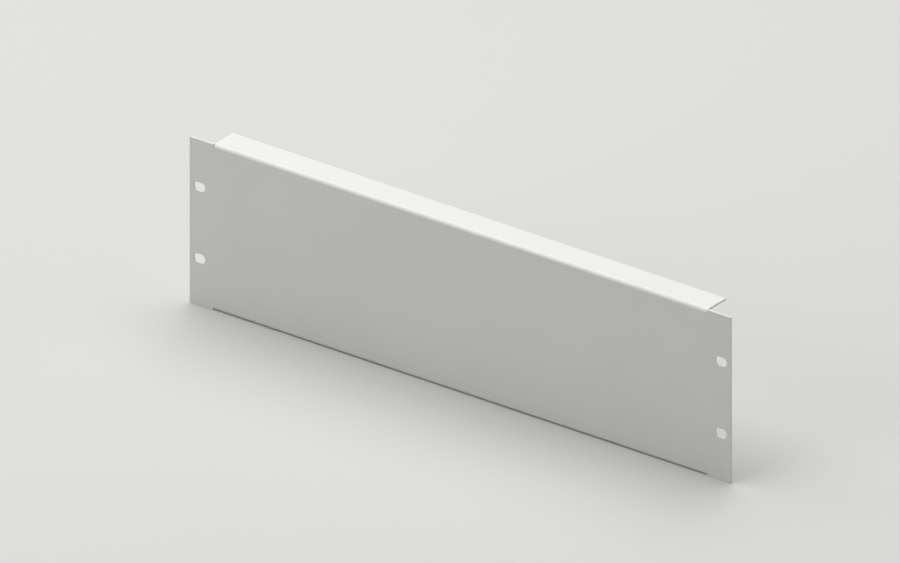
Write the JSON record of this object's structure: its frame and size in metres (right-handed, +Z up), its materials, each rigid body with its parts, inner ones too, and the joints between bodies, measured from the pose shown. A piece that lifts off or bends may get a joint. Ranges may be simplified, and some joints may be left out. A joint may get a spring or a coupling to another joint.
{
  "type": "rack blanking panel",
  "caption": "Folded sheet-steel blanking panel for a 19-inch rack: flat front plate with slotted ears, and a stiffening flange turned back along the top and the bottom.",
  "frame": {"origin": "centre of the slot pattern, in the plane of the ears' rear faces, where the panel meets the rack's posts", "axes": "+X across the panel, +Y back into the rack, +Z up"},
  "size_m": [0.4826, 0.023, 0.1324],
  "materials": {
    "powder_coat": "light grey fine-textured powder coat, satin"
  },
  "bodies": {
    "root": {"blanking_panel": "powder_coat"}
  },
  "joints": []
}
